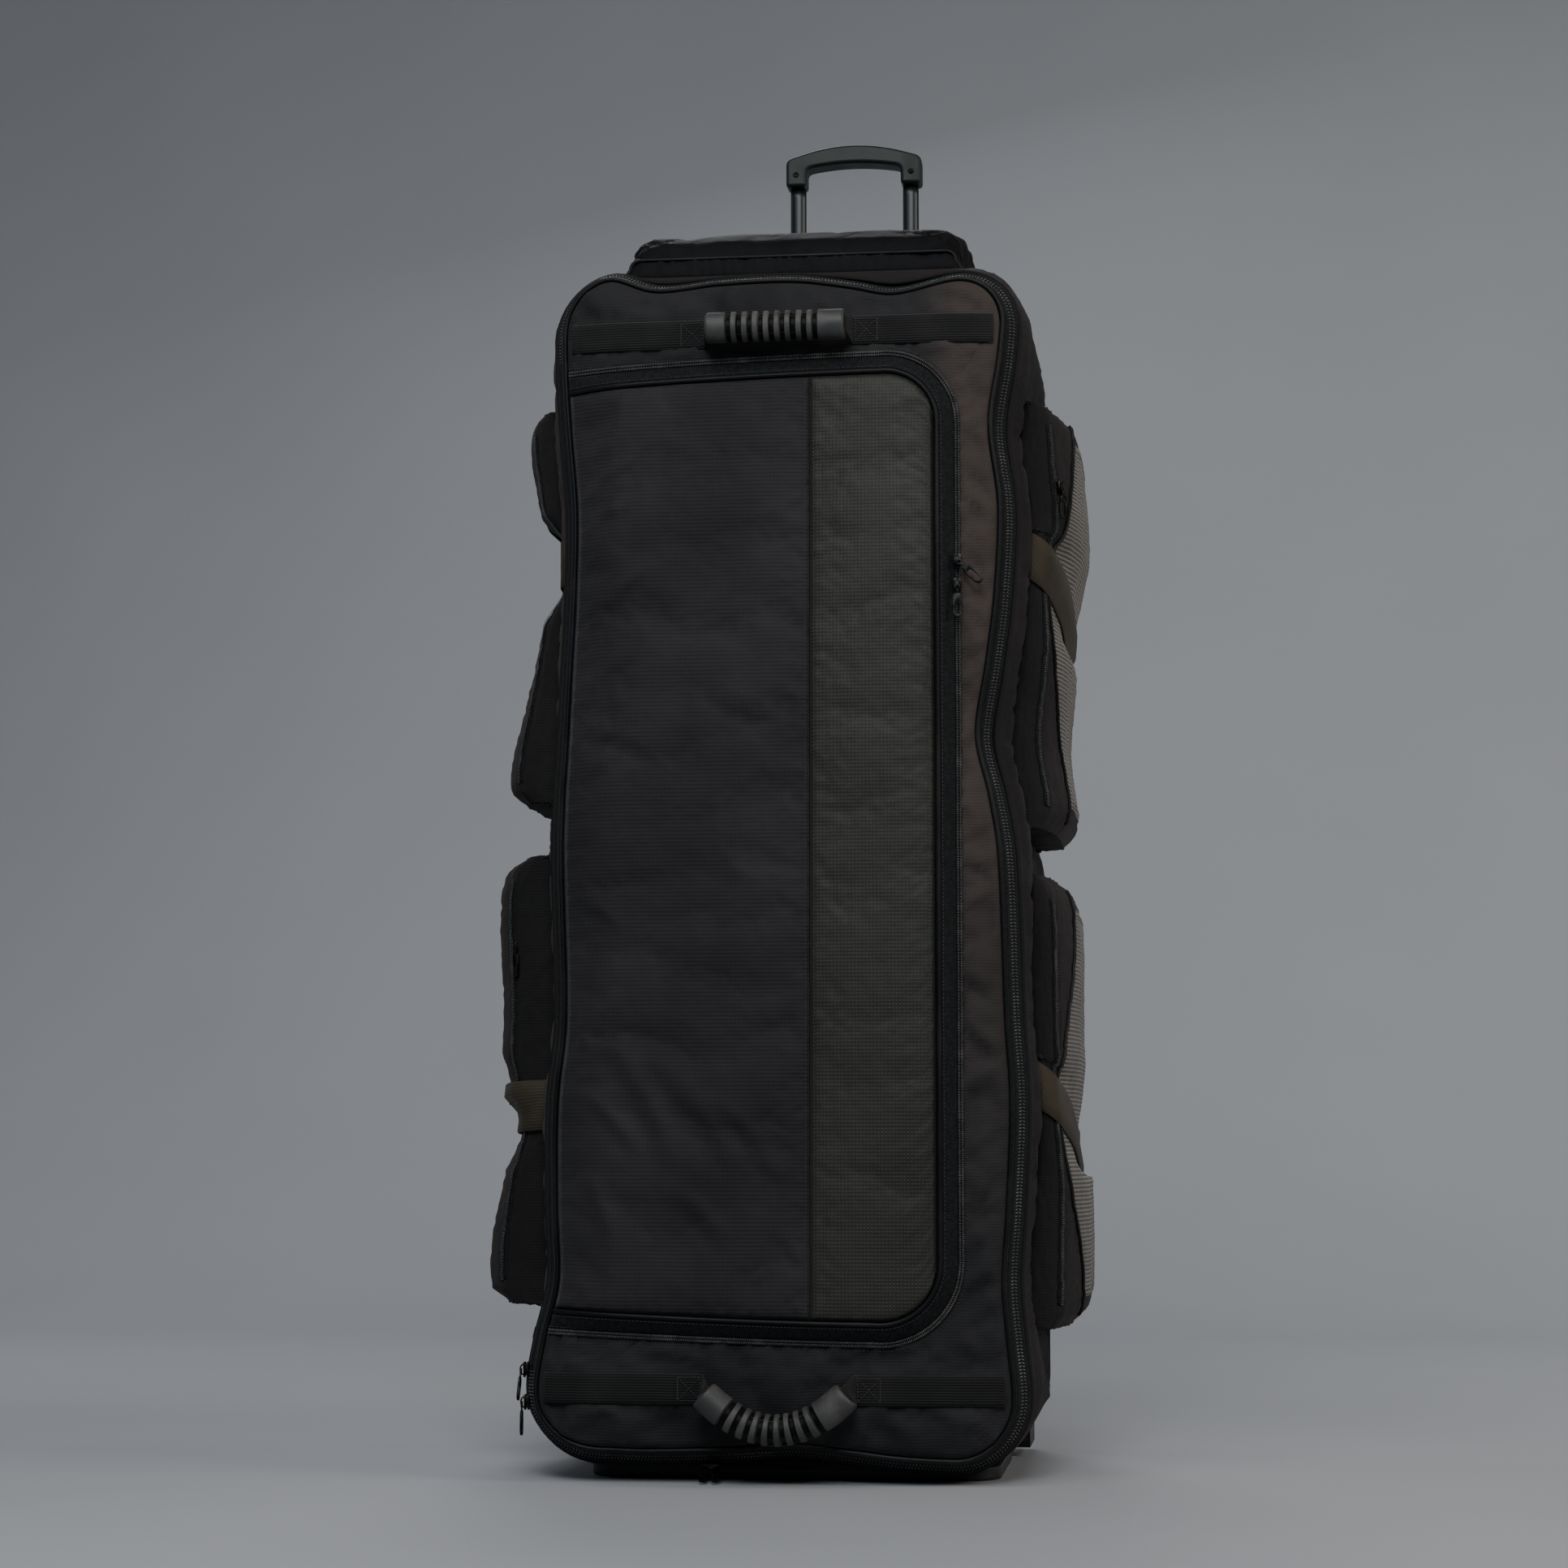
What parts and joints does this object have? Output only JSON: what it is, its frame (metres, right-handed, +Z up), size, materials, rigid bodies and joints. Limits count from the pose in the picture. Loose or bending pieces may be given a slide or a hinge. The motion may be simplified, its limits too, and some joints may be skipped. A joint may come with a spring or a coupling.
{
  "type": "wheeled cricket kit bag",
  "caption": "Tall upright wheeled kit bag with a zipped front pocket, strapped side pockets, grab handles and a pull-out trolley handle.",
  "frame": {"origin": "centre line of the bag at the underside of the base plate", "axes": "+Z up, -Y towards the front panel, +X to the right seen from the front"},
  "size_m": [0.5031, 0.4077, 1.185],
  "materials": {
    "shell": "black ripstop cloth with a fine cross rib",
    "olive": "olive grey coated cloth with a fine square grid",
    "tape": "woven zip tape",
    "teeth": "dark coil zip",
    "piping": "coated piping cord",
    "webbing": "black webbing",
    "strap": "wide dark olive strap",
    "ribbed": "grey ribbed cloth",
    "rubber": "moulded rubber",
    "handle": "moulded grip",
    "tube": "anodised tube",
    "plastic": "black moulding",
    "metal": "dark nickel",
    "tyre": "soft black tyre"
  },
  "bodies": {
    "case": {"axle_left": "metal", "axle_right": "metal", "base_plate": "plastic", "flap_dark": "shell", "flap_olive": "olive", "flap_piping": "piping", "flap_slider_lower": "metal", "flap_slider_upper": "metal", "flap_zip_tape": "tape", "flap_zip_teeth": "teeth", "foot_slider": "metal", "front_panel": "shell", "front_piping": "piping", "grip_bottom": "rubber", "grip_top": "rubber", "hood": "shell", "left_lower_panel": "ribbed", "left_lower_pocket": "shell", "left_lower_slider": "metal", "left_lower_strap": "strap", "left_lower_zip": "teeth", "left_upper_panel": "ribbed", "left_upper_pocket": "shell", "left_upper_strap": "strap", "left_upper_zip": "teeth", "main_slider_lower": "metal", "main_slider_upper": "metal", "main_zip_tape": "tape", "main_zip_teeth": "teeth", "rear_chassis": "plastic", "rear_piping": "piping", "rear_tub": "shell", "right_lower_panel": "ribbed", "right_lower_pocket": "shell", "right_lower_strap": "strap", "right_lower_zip": "teeth", "right_upper_panel": "ribbed", "right_upper_pocket": "shell", "right_upper_slider": "metal", "right_upper_strap": "strap", "right_upper_zip": "teeth", "trolley_bezel": "plastic", "trolley_guide_left": "tube", "trolley_guide_right": "tube", "webbing_bottom": "webbing", "webbing_top": "webbing"},
    "trolley_handle": {"trolley_grip": "handle", "trolley_tube_left": "tube", "trolley_tube_right": "tube"},
    "left_wheel": {"wheel_left": "tyre"},
    "right_wheel": {"wheel_right": "tyre"}
  },
  "joints": [
    {"name": "handle_slide", "type": "slide", "parent": "case", "child": "trolley_handle", "axis": [0, 0, 1], "range_m": [-0.128, 0.25]},
    {"name": "wheel_left_spin", "type": "hinge", "parent": "case", "child": "left_wheel", "pos_m": [-0.146, 0.15, 0.0405], "axis": [1, 0, 0], "continuous": true},
    {"name": "wheel_right_spin", "type": "hinge", "parent": "case", "child": "right_wheel", "pos_m": [0.146, 0.15, 0.0405], "axis": [1, 0, 0], "continuous": true}
  ]
}
